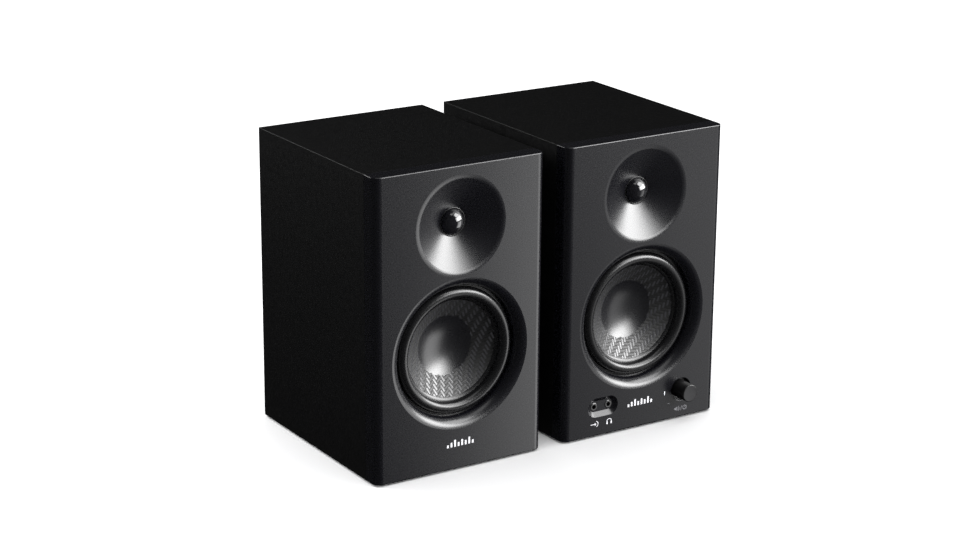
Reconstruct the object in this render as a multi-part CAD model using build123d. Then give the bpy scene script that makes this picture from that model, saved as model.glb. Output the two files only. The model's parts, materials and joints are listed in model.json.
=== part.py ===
from build123d import *

import os
from math import asin, cos, pi, radians, sin

# A pair of small powered monitor speakers for a desk. The active one, on the right, holds the
# amplifier and feeds the passive one. Millimetres, +Z up, fronts facing -Y.
#
# Each speaker is drawn in its own frame: x from its middle, y as the depth behind the front face
# of its baffle, and z from the bottom of its cabinet.

# Driving dimensions
WIDTH = 140.0
HEIGHT = 224.5
DEPTH = 168.0  # front face of the baffle to the rear edge of the cabinet
SPACING = 159.0  # between the middles of the two speakers
FOOT_HEIGHT = 1.5
KNOB_REACH = 12.0  # the volume knob's front, ahead of the baffle
REAR_REACH = 9.5  # the tone knobs' ends, behind the cabinet

# Wooden parts
BAFFLE = 12.0  # where the drivers are mounted
BAFFLE_RIM = 14.0  # where the baffle meets the cabinet
WALL = 9.0
BACK = 9.0
BACK_RECESS = 1.0
CORNER_RADIUS = 6.0  # upright front edges
RIM_RADIUS = 0.7  # top and bottom front edges
EDGE_EASE = 0.5

# Woofer, by radius and depth
WOOFER_Z = 86.5
RECESS_RADIUS = 56.3
RECESS_ROUND = 8.6  # radius of the recess's rolled wall
RECESS_CREASE = 8.0  # angle at which the wall leaves the front face
HOLE_RADIUS = 48.3
SHELF_DEPTH = 10.0
FLANGE_RADIUS = 58.0
FLANGE_THICK = 1.5
LUG_RADIUS = 61.0
ROLL_MIDDLE = 42.8
ROLL_RADIUS = 4.8
ROLL_DEPTH = 9.9
RUBBER = 0.9
CONE_RADIUS = 36.4
CONE_DEPTH = 12.8
CONE_SLOPE = 0.626
CONE_THICK = 0.8
CAP_RADIUS = 22.5
CAP_DISH = 6.0  # how far its middle lies behind its rim
FORMER_RADIUS = 12.85
SHELF_RADIUS = 28.0  # inner edge of the shelf that holds the spider
SPIDER_DEPTH = 33.0
PLATE_DEPTH = 40.0
MAGNET_DEPTH = 44.0
YOKE_DEPTH = 56.0
YOKE_THICK = 4.0

# Tweeter
TWEETER_Z = 181.0
MOUTH_RADIUS = 35.3
MOUTH_EASE = 8.0
THROAT_RADIUS = 10.8
HORN_DEPTH = 11.5
DOME_RADIUS = 9.5
DOME_HEIGHT = 7.0
TWEETER_FLANGE = 26.0
TWEETER_SCREWS = 22.5

# Bass port
PORT_Z = 172.0
PORT_RADIUS = 16.0
PORT_FLARE = 9.0
PORT_FLANGE = 31.0
PORT_LENGTH = 65.0
PANEL_LIP = 2.0  # thickness of every plate and flange on the rear

# Controls and sockets on the active speaker's front
CONTROL_Z = 22.0
SOCKET_X = -33.9
SOCKET_GAP = 13.0
JACK_RECESS_LENGTH = 27.0
JACK_RECESS_WIDTH = 15.0
JACK_RECESS_DEPTH = 3.0
JACK_RECESS_DRAFT = 48.0
MINI_BORE = 1.8
MINI_NOSE = 3.0
KNOB_X = 38.4
KNOB_RADIUS = 6.75
WELL_RADIUS = 9.0
WELL_DEPTH = 4.5
LED_X = 23.0
LED_Z = 21.5
LED_WIDTH = 0.8
LED_HEIGHT = 3.0
FRONT_BOARD_DEPTH = 24.0
BOARD = 1.6

# Amplifier module on the active speaker's rear
MODULE_WIDTH = 104.0
MODULE_HEIGHT = 128.0
MODULE_Z = 76.0
MODULE_LAP = 6.0  # how far the plate laps over the wood all round
AMP_BOARD_GAP = 26.0  # from the board to the back of the wood
MAINS_X, MAINS_Z = -30.0, 32.0
ACTIVE_CLIP_X, ACTIVE_CLIP_Z = 20.0, 34.0
PASSIVE_CLIP_Z = 60.0
LINE_Z = 72.0
TRS_X = (34.0, 14.0)
TRS_BORE = 3.25
RCA_X = (-14.0, -30.0)
RCA_RADIUS = 4.15
TONE_X = (16.0, -16.0)
TONE_Z = 114.0
TONE_RADIUS = 4.5
TONE_SHAFT = 10.5  # how deep the tone knobs' shafts reach into the wood
SHAFT_RADIUS = 3.0
RUNNING_GAP = 0.05

# Spring clips for the wire between the speakers
CLIP_WIDTH, CLIP_HEIGHT = 40.0, 23.0
CLIP_PROUD = 3.0
CLIP_SINK = 11.0
LEVER_X = 9.5
LEVER_WIDTH = 12.0
LEVER_GAP = 0.3
PIVOT_RISE, PIVOT_OUT = 7.0, 1.2
PIN_RADIUS = 1.0
WIRE_RADIUS = 1.5
WIRE_DROP = 9.0

# Worked out from the driving dimensions
INNER_WIDTH = WIDTH - 2 * WALL
INNER_HEIGHT = HEIGHT - 2 * WALL
MIDDLE_Z = HEIGHT / 2
REAR_FACE = DEPTH - BACK_RECESS  # outer face of the back panel
MODULE_FACE = REAR_FACE + PANEL_LIP
PORT_END = MODULE_FACE - PORT_LENGTH
AMP_BOARD_DEPTH = REAR_FACE - AMP_BOARD_GAP
FRONT_Y = KNOB_REACH - (KNOB_REACH + DEPTH + REAR_REACH) / 2
LEFT = Pos(-SPACING / 2, FRONT_Y, FOOT_HEIGHT)
RIGHT = Pos(SPACING / 2, FRONT_Y, FOOT_HEIGHT)
ALONG_DEPTH = Rot(-90, 0, 0)
THROUGH = 1.0  # how far a cutter passes a face


def block(width, depth, height, x=0.0, start=0.0, z=0.0):
    """A box centred on x and z that begins at depth start."""
    return Pos(x, start + depth / 2, z) * Box(width, depth, height)


def rod(radius, start, end, x=0.0, z=0.0):
    """A round bar along the depth, from start to end."""
    bar = Cylinder(radius, end - start, align=(Align.CENTER, Align.CENTER, Align.MIN))
    return Pos(x, start, z) * (ALONG_DEPTH * bar)


def ring(outer, inner, start, end, x=0.0, z=0.0):
    """A round bar with a hole along it."""
    return rod(outer, start, end, x, z) - rod(inner, start - THROUGH, end + THROUGH, x, z)


def turned(*outline):
    """A round solid about the depth axis, from (radius, depth) corners."""
    return revolve(make_face(Polyline(*outline, close=True)), Axis.Y)


def turned_edges(*edges):
    """A round solid about the depth axis, from the edges of its closed outline."""
    return revolve(make_face(edges), Axis.Y)


def dome_arc(radius, middle, rim):
    """The arc of a dome's or dish's outline, from its middle at one depth to its rim at another."""
    height = rim - middle
    ball = (radius**2 + height**2) / (2 * abs(height))
    half = asin(min(radius / ball, 1.0)) / 2
    rise = ball * (1 - cos(half))
    halfway = middle + (rise if height > 0 else -rise)
    return ThreePointArc((0, middle), (ball * sin(half), halfway), (radius, rim))


def cone_depth(radius):
    """Depth of the woofer cone's front face at a radius."""
    return CONE_DEPTH + (CONE_RADIUS - radius) * CONE_SLOPE


def around(count, radius, start=0.0):
    """Points evenly spaced round a circle in the plane of the baffle, as (x, z)."""
    angles = [radians(start + 360 * k / count) for k in range(count)]
    return [(radius * cos(a), radius * sin(a)) for a in angles]


def woofer_screw_places():
    return [(x, WOOFER_Z + z) for x, z in around(4, LUG_RADIUS, 45)]


def tweeter_screw_places():
    return [(x, TWEETER_Z + z) for x, z in around(3, TWEETER_SCREWS, 90)]


def module_screw_places():
    """Four corners and the middles of the two long sides."""
    x = MODULE_WIDTH / 2 - 3.0
    z = MODULE_HEIGHT / 2 - 3.0
    return [(i * x, MODULE_Z + k * z) for i in (-1, 1) for k in (-1, 0, 1)]


def port_screw_places():
    return [(x, PORT_Z + z) for x, z in around(4, PORT_FLANGE - 2.8, 45)]


def clip_middle(z):
    """Height of the middle of a clip whose screws are at z."""
    return z + PIVOT_RISE + 3.0 - CLIP_HEIGHT / 2


def clip_screw_places(x, z):
    return [(x + i * (CLIP_WIDTH / 2 + 3.2), z) for i in (-1, 1)]


def screw(x, z, seat, point, head=3.0, shank=1.5):
    """A cross-head screw driven forwards, its head seated at one depth and its tip at another."""
    top = seat + 1.8
    slot_width, slot_length, slot_depth = 0.8, 3.4, 0.8
    piece = rod(shank, point, seat, x, z) + rod(head, seat, top, x, z)
    piece = chamfer(piece.edges().filter_by(GeomType.CIRCLE).sort_by(Axis.Y)[-1], 0.4)
    for width, height in ((slot_width, slot_length), (slot_length, slot_width)):
        piece -= block(width, slot_depth + THROUGH, height, x, top - slot_depth, z)
    return piece


# Cabinet


def cabinet():
    """The four walls, folded from one wrapped board and open at the front and the rear."""
    length = DEPTH - BAFFLE_RIM
    shell = block(WIDTH, length, HEIGHT, 0, BAFFLE_RIM, MIDDLE_Z)
    shell = fillet(shell.edges().filter_by(Axis.Y), EDGE_EASE)
    shell = chamfer(shell.faces().sort_by(Axis.Y)[0].edges(), EDGE_EASE / 2)
    start = BAFFLE_RIM - THROUGH
    return shell - block(INNER_WIDTH, length + 2 * THROUGH, INNER_HEIGHT, 0, start, MIDDLE_Z)


def baffle_blank():
    """The front board, its edges rounded and its rear cut down to where the drivers sit."""
    board = block(WIDTH, BAFFLE_RIM, HEIGHT, 0, 0, MIDDLE_Z)
    front = board.edges().filter_by(Axis.Z).group_by(Axis.Y)[0]
    board = fillet(front, CORNER_RADIUS)
    rims = []
    for level in (0, HEIGHT):
        for edge in board.edges():
            middle = edge.center()
            if abs(middle.Z - level) < 0.01 and middle.Y < BAFFLE_RIM - 0.1:
                rims.append(edge)
    board = fillet(rims, RIM_RADIUS)
    return board - block(INNER_WIDTH, BAFFLE_RIM, INNER_HEIGHT, 0, BAFFLE, MIDDLE_Z)


def woofer_recess():
    """The space milled round the woofer: a wall that rolls inwards to a narrow ledge."""
    crease, halfway = radians(RECESS_CREASE), radians((RECESS_CREASE + 90) / 2)
    middle_radius = RECESS_RADIUS + RECESS_ROUND * sin(crease)
    middle_depth = RECESS_ROUND * cos(crease)
    inner = middle_radius - RECESS_ROUND
    wall = ThreePointArc(
        (RECESS_RADIUS, 0),
        (middle_radius - RECESS_ROUND * sin(halfway), middle_depth - RECESS_ROUND * cos(halfway)),
        (inner, middle_depth),
    )
    rest = Polyline(
        (inner, middle_depth),
        (inner, SHELF_DEPTH),
        (HOLE_RADIUS, SHELF_DEPTH),
        (HOLE_RADIUS, BAFFLE + THROUGH),
        (0, BAFFLE + THROUGH),
        (0, -THROUGH),
        (RECESS_RADIUS, -THROUGH),
        (RECESS_RADIUS, 0),
    )
    return Pos(0, 0, WOOFER_Z) * turned_edges(wall, *rest.edges())


def waveguide():
    """The shallow horn in front of the tweeter."""
    return Pos(0, 0, TWEETER_Z) * turned(
        (0, -THROUGH),
        (MOUTH_RADIUS, -THROUGH),
        (MOUTH_RADIUS, 0),
        (THROAT_RADIUS, HORN_DEPTH),
        (THROAT_RADIUS, BAFFLE + THROUGH),
        (0, BAFFLE + THROUGH),
    )


def mouth_edge(board, radius):
    """The front edge of a round opening."""
    circles = board.edges().filter_by(GeomType.CIRCLE)
    return [e for e in circles if abs(e.radius - radius) < 0.01 and abs(e.center().Y) < 0.01]


def baffle():
    board = baffle_blank() - woofer_recess() - waveguide()
    board = fillet(mouth_edge(board, MOUTH_RADIUS), MOUTH_EASE)
    for x, z in woofer_screw_places():
        board -= rod(1.6, BAFFLE - 5.5, BAFFLE + THROUGH, x, z)
    for x, z in tweeter_screw_places():
        board -= rod(1.6, BAFFLE - 4.0, BAFFLE + THROUGH, x, z)
    return board


def stadium(length, width, start, end, x, z, draft=0.0):
    """A flat-sided bar with round ends along x, drawn in by draft degrees."""
    plane = Plane(origin=(x, start, z), x_dir=(1, 0, 0), z_dir=(0, 1, 0))
    return extrude(plane * SlotOverall(length, width), amount=end - start, taper=draft)


def active_baffle():
    """The same board with the jack recess, the knob's well, and the holes behind them."""
    board = baffle()
    length, width = JACK_RECESS_LENGTH, JACK_RECESS_WIDTH
    board -= stadium(length, width, 0, JACK_RECESS_DEPTH, SOCKET_X, CONTROL_Z, JACK_RECESS_DRAFT)
    for x in socket_places():
        board -= rod(MINI_NOSE + 0.05, -THROUGH, BAFFLE + THROUGH, x, CONTROL_Z)
    well = turned(
        (0, -THROUGH),
        (WELL_RADIUS, -THROUGH),
        (WELL_RADIUS, 0),
        (WELL_RADIUS - 0.7, WELL_DEPTH),
        (0, WELL_DEPTH),
    )
    board -= Pos(KNOB_X, 0, CONTROL_Z) * well
    board = fillet(mouth_edge(board, WELL_RADIUS), EDGE_EASE)
    board -= rod(3.8, 0, BAFFLE + THROUGH, KNOB_X, CONTROL_Z)
    board -= block(LED_WIDTH, BAFFLE + 2, LED_HEIGHT, LED_X, -THROUGH, LED_Z)
    return board


def back_blank():
    board = block(INNER_WIDTH, BACK, INNER_HEIGHT, 0, REAR_FACE - BACK, MIDDLE_Z)
    board -= rod(24.2, REAR_FACE - BACK - THROUGH, DEPTH, 0, PORT_Z)
    for x, z in port_screw_places():
        board -= rod(1.3, REAR_FACE - 7, DEPTH, x, z)
    return board


def passive_back_panel():
    """The rear board, with a hole for the spring clips."""
    width, height = CLIP_WIDTH - 1.6, CLIP_HEIGHT - 2.6
    hole = block(width, 20, height, 0, REAR_FACE - 15, clip_middle(PASSIVE_CLIP_Z))
    board = back_blank() - hole
    for x, z in clip_screw_places(0, PASSIVE_CLIP_Z):
        board -= rod(1.3, REAR_FACE - 7, DEPTH, x, z)
    return board


def active_back_panel():
    """The rear board, cut away for the amplifier module."""
    width = MODULE_WIDTH - 2 * MODULE_LAP
    height = MODULE_HEIGHT - 2 * MODULE_LAP
    board = back_blank() - block(width, 20, height, 0, REAR_FACE - 15, MODULE_Z)
    for x, z in module_screw_places():
        board -= rod(1.3, REAR_FACE - 7, DEPTH, x, z)
    return board


def feet():
    """Four thin rubber discs under the cabinet."""
    disc = Cylinder(7.0, FOOT_HEIGHT, align=(Align.CENTER, Align.CENTER, Align.MAX))
    disc = chamfer(disc.edges().group_by(Axis.Z)[0], 0.4)
    places = [(x, y) for x in (-52, 52) for y in (20, DEPTH - 18)]
    return [Pos(x, y, 0) * disc for x, y in places]


def damping_pad():
    """Fibre wadding glued to the inside of the left wall."""
    return fillet(block(10, 90, 170, 5 - INNER_WIDTH / 2, 50, 112).edges(), 2.0)


def port_tube():
    """The bass port: a straight tube that flares out at the rear, with a flange on the panel."""
    mouth = PORT_RADIUS + PORT_FLARE
    start = MODULE_FACE - PORT_FLARE
    bend = PORT_FLARE * (1 - cos(pi / 4)), PORT_FLARE * sin(pi / 4)
    flare = ThreePointArc(
        (PORT_RADIUS, start), (PORT_RADIUS + bend[0], start + bend[1]), (mouth, MODULE_FACE)
    )
    rest = Polyline(
        (mouth, MODULE_FACE),
        (PORT_FLANGE - 0.6, MODULE_FACE),
        (PORT_FLANGE, MODULE_FACE - 0.6),
        (PORT_FLANGE, REAR_FACE),
        (24.0, REAR_FACE),
        (24.0, start),
        (PORT_RADIUS + 2, start - 8),
        (PORT_RADIUS + 2, PORT_END),
        (PORT_RADIUS, PORT_END),
        (PORT_RADIUS, start),
    )
    tube = Pos(0, 0, PORT_Z) * turned_edges(flare, *rest.edges())
    for x, z in port_screw_places():
        tube -= rod(1.6, REAR_FACE - THROUGH, DEPTH + 4, x, z)
    return tube


# Woofer


def woofer_basket():
    """Pressed steel frame: flange with four lugs, open conical cage, spider shelf and floor."""
    skin = 1.3
    shelf_outer = 37.2
    frame = turned(
        (46.0, BAFFLE),
        (FLANGE_RADIUS, BAFFLE),
        (FLANGE_RADIUS, BAFFLE + FLANGE_THICK),
        (52.0, BAFFLE + FLANGE_THICK),
        (shelf_outer + 0.8, SPIDER_DEPTH + skin),
        (SHELF_RADIUS + skin, SPIDER_DEPTH + skin),
        (SHELF_RADIUS + skin, PLATE_DEPTH),
        (14.3, PLATE_DEPTH),
        (14.3, PLATE_DEPTH - skin),
        (SHELF_RADIUS, PLATE_DEPTH - skin),
        (SHELF_RADIUS, SPIDER_DEPTH),
        (shelf_outer, SPIDER_DEPTH),
        (50.5, BAFFLE + FLANGE_THICK),
        (46.0, BAFFLE + FLANGE_THICK),
    )
    for k in range(6):
        window = block(30, 15, 24, 46, BAFFLE + 4.5, 0)
        frame -= Rot(0, 30 + 60 * k, 0) * fillet(window.edges().filter_by(Axis.X), 4.0)
    for x, z in around(4, LUG_RADIUS, 45):
        frame += rod(6.0, BAFFLE, BAFFLE + FLANGE_THICK, x, z)
    for x, z in around(4, LUG_RADIUS, 45):
        frame -= rod(1.9, BAFFLE - THROUGH, BAFFLE + 4, x, z)
    return Pos(0, 0, WOOFER_Z) * frame


def woofer_surround():
    """The rubber half-roll between the frame and the cone."""
    top, low = ROLL_MIDDLE + ROLL_RADIUS, ROLL_MIDDLE - ROLL_RADIUS
    inner = ROLL_RADIUS - RUBBER
    crest = ThreePointArc((top, ROLL_DEPTH), (ROLL_MIDDLE, ROLL_DEPTH - ROLL_RADIUS), (low, ROLL_DEPTH))
    under = ThreePointArc(
        (low + RUBBER, ROLL_DEPTH), (ROLL_MIDDLE, ROLL_DEPTH - inner), (top - RUBBER, ROLL_DEPTH)
    )
    glue = CONE_DEPTH - 0.1
    inner_lip = Polyline(
        (low, ROLL_DEPTH),
        (low, glue - 0.7),
        (CONE_RADIUS - 0.2, glue - 0.7),
        (CONE_RADIUS - 0.2, glue),
        (low + RUBBER, glue),
        (low + RUBBER, ROLL_DEPTH),
    )
    outer_lip = Polyline(
        (top - RUBBER, ROLL_DEPTH),
        (top - RUBBER, BAFFLE),
        (HOLE_RADIUS - 0.15, BAFFLE),
        (HOLE_RADIUS - 0.15, ROLL_DEPTH),
        (top, ROLL_DEPTH),
    )
    return Pos(0, 0, WOOFER_Z) * turned_edges(crest, *inner_lip.edges(), under, *outer_lip.edges())


def woofer_cone():
    """The woven cone, with a flat rim outside and a short neck on the coil former."""
    rim = CONE_RADIUS + 2.3
    neck = FORMER_RADIUS + 0.75
    return Pos(0, 0, WOOFER_Z) * turned(
        (rim, CONE_DEPTH),
        (CONE_RADIUS, CONE_DEPTH),
        (FORMER_RADIUS, cone_depth(FORMER_RADIUS)),
        (FORMER_RADIUS, 30.5),
        (neck, 30.5),
        (neck, cone_depth(neck) + CONE_THICK),
        (CONE_RADIUS, CONE_DEPTH + CONE_THICK),
        (rim, CONE_DEPTH + CONE_THICK),
    )


def woofer_dust_cap():
    """The dished cap that closes the middle of the cone."""
    skin = 0.6
    rim = cone_depth(CAP_RADIUS)
    rear_radius = CAP_RADIUS - 0.7
    rear_rim = cone_depth(rear_radius)
    front = dome_arc(CAP_RADIUS, rim + CAP_DISH, rim)
    edge = Line((CAP_RADIUS, rim), (rear_radius, rear_rim))
    rear = dome_arc(rear_radius, rim + CAP_DISH + skin, rear_rim)
    axis = Line((0, rim + CAP_DISH + skin), (0, rim + CAP_DISH))
    return Pos(0, 0, WOOFER_Z) * turned_edges(front, edge, rear, axis)


def woofer_voice_coil():
    """The former, and the winding at its rear end that sits in the magnet's gap."""
    start = cone_depth(FORMER_RADIUS)
    return Pos(0, 0, WOOFER_Z) * turned(
        (FORMER_RADIUS - 0.3, start),
        (FORMER_RADIUS, start),
        (FORMER_RADIUS, 37.0),
        (FORMER_RADIUS + 0.5, 37.0),
        (FORMER_RADIUS + 0.5, 47.0),
        (FORMER_RADIUS - 0.3, 47.0),
    )


def woofer_spider():
    """The corrugated cloth disc that centres the coil."""
    inner, outer, thick, height, waves = FORMER_RADIUS + 0.25, 31.0, 0.5, 0.7, 5
    steps = 8 * waves
    front, rear = [], []
    for k in range(steps + 1):
        radius = inner + (outer - inner) * k / steps
        level = SPIDER_DEPTH - thick - height * (1 - cos(2 * pi * waves * k / steps)) / 2
        front.append((radius, level))
        rear.append((radius, level + thick))
    inner_end = Line(rear[0], front[0])
    outer_end = Line(front[-1], rear[-1])
    return Pos(0, 0, WOOFER_Z) * turned_edges(Spline(*front), outer_end, Spline(*rear), inner_end)


def woofer_magnet():
    return ring(34.0, 18.0, MAGNET_DEPTH, YOKE_DEPTH, 0, WOOFER_Z)


def woofer_steel():
    """The front plate, and the rear plate with its pole in the middle."""
    front_plate = ring(27.0, 13.9, PLATE_DEPTH, MAGNET_DEPTH, 0, WOOFER_Z)
    yoke = rod(30.0, YOKE_DEPTH, YOKE_DEPTH + YOKE_THICK, 0, WOOFER_Z)
    yoke = chamfer(yoke.edges().sort_by(Axis.Y)[-1], 1.5)
    yoke += rod(FORMER_RADIUS - 0.75, PLATE_DEPTH, YOKE_DEPTH, 0, WOOFER_Z)
    return [front_plate, yoke]


def driver_screws():
    """The screws that hold the two drivers to the baffle, driven in from behind."""
    woofer = [screw(x, z, BAFFLE + FLANGE_THICK, BAFFLE - 5) for x, z in woofer_screw_places()]
    tweeter = [screw(x, z, BAFFLE + 2, BAFFLE - 3.5) for x, z in tweeter_screw_places()]
    return woofer + tweeter


# Tweeter


def tweeter_frame():
    """The round plate behind the horn, with a rebate for the dome's surround."""
    plate = ring(TWEETER_FLANGE, 10.4, BAFFLE, BAFFLE + 2, 0, TWEETER_Z)
    plate -= rod(12.5, BAFFLE - THROUGH, BAFFLE + 0.6, 0, TWEETER_Z)
    for x, z in tweeter_screw_places():
        plate -= rod(1.8, BAFFLE - THROUGH, BAFFLE + 4, x, z)
    return plate


def tweeter_dome():
    """The dome, with the coil former under its rim."""
    skin, end = 0.4, 18.0
    crown = BAFFLE - DOME_HEIGHT
    inside = DOME_RADIUS - skin
    outer = dome_arc(DOME_RADIUS, crown, BAFFLE)
    skirt = Polyline((DOME_RADIUS, BAFFLE), (DOME_RADIUS, end), (inside, end), (inside, BAFFLE))
    inner = dome_arc(inside, crown + skin, BAFFLE)
    axis = Line((0, crown + skin), (0, crown))
    return Pos(0, 0, TWEETER_Z) * turned_edges(outer, *skirt.edges(), inner, axis)


def tweeter_surround():
    """The small roll round the dome and its flat rim in the frame's rebate."""
    inner, rim, level, thick = DOME_RADIUS + 0.15, 12.4, BAFFLE + 0.05, 0.4
    roll = 0.45
    arc = ThreePointArc((inner, level), (inner + roll, level - roll), (inner + 2 * roll, level))
    rest = Polyline(
        (inner + 2 * roll, level),
        (rim, level),
        (rim, level + thick),
        (inner, level + thick),
        (inner, level),
    )
    return Pos(0, 0, TWEETER_Z) * turned_edges(arc, *rest.edges())


def tweeter_motor():
    """Front plate, ring magnet, and rear plate with its pole."""
    front_plate = ring(17.0, 10.0, 14.0, 16.0, 0, TWEETER_Z)
    magnet = ring(19.0, 12.0, 16.0, 24.0, 0, TWEETER_Z)
    yoke = rod(17.0, 24.0, 27.0, 0, TWEETER_Z) + rod(8.65, 14.5, 24.0, 0, TWEETER_Z)
    return [front_plate, magnet, yoke]


# Spring clips


def clip_housing(x, z, face):
    """The clip's body: a pocket with pivot holes for each lever, and a wire hole below it."""
    middle_z = clip_middle(z)
    body = block(CLIP_WIDTH, CLIP_PROUD, CLIP_HEIGHT, x, face, middle_z)
    body = fillet(body.edges().filter_by(Axis.Y), 2.0)
    body = chamfer(body.faces().sort_by(Axis.Y)[-1].edges(), 0.5)
    body += block(CLIP_WIDTH - 2, CLIP_SINK, CLIP_HEIGHT - 3, x, face - CLIP_SINK, middle_z)
    tabs = block(CLIP_WIDTH + 13, PANEL_LIP, 8, x, face, z)
    body += fillet(tabs.edges().filter_by(Axis.Y), 3.0)
    pivot_z = z + PIVOT_RISE
    for side in (-1, 1):
        middle = x + side * LEVER_X
        pocket_height = 15.6
        pocket = block(LEVER_WIDTH + 2 * LEVER_GAP, 10, pocket_height, middle, face - 2.2)
        body -= Pos(0, 0, pivot_z + 2.1 - pocket_height / 2) * pocket
        bore = Cylinder(PIN_RADIUS + RUNNING_GAP, LEVER_WIDTH + 4.6)
        body -= Pos(middle, face + PIVOT_OUT, pivot_z) * (Rot(0, 90, 0) * bore)
        body -= rod(WIRE_RADIUS, face - 8, face + 8, middle, z - WIRE_DROP)
    for hole_x, hole_z in clip_screw_places(x, z):
        body -= rod(1.6, face - THROUGH, face + 4, hole_x, hole_z)
    return body


def clip_lever(x, z, face, side):
    """A wedge-shaped press lever on its pivot pin."""
    tip, half = 12.0, LEVER_WIDTH / 2
    wedge = make_face(
        Polyline((-1.0, 0.4), (1.6, 0.4), (4.0, -tip + 1.2), (4.8, -tip), (1.5, -tip), close=True)
    )
    plane = Plane(origin=(-half, 0, 0), x_dir=(0, 1, 0), z_dir=(1, 0, 0))
    lever = extrude(plane * wedge, amount=LEVER_WIDTH)
    lever += Rot(0, 90, 0) * Cylinder(1.6, LEVER_WIDTH)
    lever += Rot(0, 90, 0) * Cylinder(PIN_RADIUS, LEVER_WIDTH + 4.0)
    for k in range(3):
        groove = Cylinder(0.35, LEVER_WIDTH + 1)
        lever -= Pos(0, 2.75 + 0.55 * k, -5.4 - 2.3 * k) * (Rot(0, 90, 0) * groove)
    return Pos(x + side * LEVER_X, face + PIVOT_OUT, z + PIVOT_RISE) * lever


def clip_screws(x, z, face, grip):
    return [
        screw(hole_x, hole_z, face + PANEL_LIP, face - grip, 2.6, 1.25)
        for hole_x, hole_z in clip_screw_places(x, z)
    ]


def port_screws():
    return [screw(x, z, MODULE_FACE, REAR_FACE - 6, 2.4, 1.25) for x, z in port_screw_places()]


# Passive speaker's crossover


def crossover_board():
    """A small board on four posts behind the rear panel, with a capacitor and a coil."""
    level = REAR_FACE - BACK - 7
    z = 106.0
    pieces = [block(70, BOARD, 44, 0, level, z)]
    for x, dz in ((-31, -18), (31, -18), (-31, 18), (31, 18)):
        pieces.append(rod(2.5, level + BOARD, REAR_FACE - BACK, x, z + dz))
    coil = ring(11, 5, level - 10, level, -18, z)
    capacitor = Rot(0, 90, 0) * Cylinder(6, 26)
    return pieces + [coil, Pos(14, level - 6.2, z) * capacitor]


# Front controls of the active speaker


def socket_places():
    return [SOCKET_X - SOCKET_GAP / 2, SOCKET_X + SOCKET_GAP / 2]


def front_jacks():
    """Two 3.5 mm sockets: a ringed nose through the baffle, and a square body on the board."""
    jacks = []
    for x in socket_places():
        jack = block(11, FRONT_BOARD_DEPTH - BAFFLE, 11, x, BAFFLE, CONTROL_Z)
        jack += rod(MINI_NOSE, JACK_RECESS_DEPTH - 0.5, BAFFLE, x, CONTROL_Z)
        nose_edges = jack.edges().filter_by(GeomType.CIRCLE).sort_by(Axis.Y)[0]
        jack = chamfer(nose_edges, 0.4)
        jack -= rod(MINI_BORE, 0, 18.5, x, CONTROL_Z)
        jacks.append(jack)
    return jacks


def front_board():
    """The circuit board behind the controls, on two posts."""
    board = block(98, BOARD, 19, 0, FRONT_BOARD_DEPTH, CONTROL_Z)
    board -= rod(2.0, FRONT_BOARD_DEPTH - THROUGH, FRONT_BOARD_DEPTH + 4, KNOB_X, CONTROL_Z)
    posts = [rod(2.5, BAFFLE, FRONT_BOARD_DEPTH, x, CONTROL_Z - 4) for x in (-9, 9)]
    return [board] + posts


def led_lens():
    """The light pipe from the board to the slit in the baffle."""
    gap = 0.1
    return block(LED_WIDTH - gap, FRONT_BOARD_DEPTH, LED_HEIGHT - gap, LED_X, 0, LED_Z)


def volume_encoder():
    """The encoder's body and the bush that its shaft turns in."""
    body = block(12.6, FRONT_BOARD_DEPTH - BAFFLE - 1, 12.6, KNOB_X, BAFFLE + 1, CONTROL_Z)
    body += rod(3.6, WELL_DEPTH + 1, BAFFLE + 1, KNOB_X, CONTROL_Z)
    body -= rod(SHAFT_RADIUS + RUNNING_GAP, 0, 17.0, KNOB_X, CONTROL_Z)
    body -= rod(1.55, 16, FRONT_BOARD_DEPTH + THROUGH, KNOB_X, CONTROL_Z)
    return body


def volume_plunger():
    """The switch pin that the shaft pushes."""
    return rod(1.5, 16.05, 23.0, KNOB_X, CONTROL_Z)


def volume_shaft():
    """The encoder's shaft, with a flat for the knob."""
    shaft = rod(SHAFT_RADIUS, -6.0, 16.0, KNOB_X, CONTROL_Z)
    flat = block(10, 8.5, 4, KNOB_X, -6.5, CONTROL_Z + 1.5 + 2)
    return shaft - flat


def volume_knob():
    """A plain round knob with a dished end, hollow round the boss that grips the shaft."""
    end, rear = -KNOB_REACH, WELL_DEPTH - 0.8
    knob = rod(KNOB_RADIUS, end, rear, KNOB_X, CONTROL_Z)
    knob = fillet(knob.edges().filter_by(GeomType.CIRCLE).sort_by(Axis.Y)[0], 0.7)
    ball = 90.0
    knob -= Pos(KNOB_X, end + 0.25 - ball, CONTROL_Z) * Sphere(ball)
    knob -= ring(5.6, 4.6, -8.0, rear + THROUGH, KNOB_X, CONTROL_Z)
    bore = rod(SHAFT_RADIUS, -6.1, rear + THROUGH, KNOB_X, CONTROL_Z)
    bore -= block(10, 8.5, 4, KNOB_X, -6.5, CONTROL_Z + 1.5 + 2)
    return knob - bore


# Amplifier module of the active speaker


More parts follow.
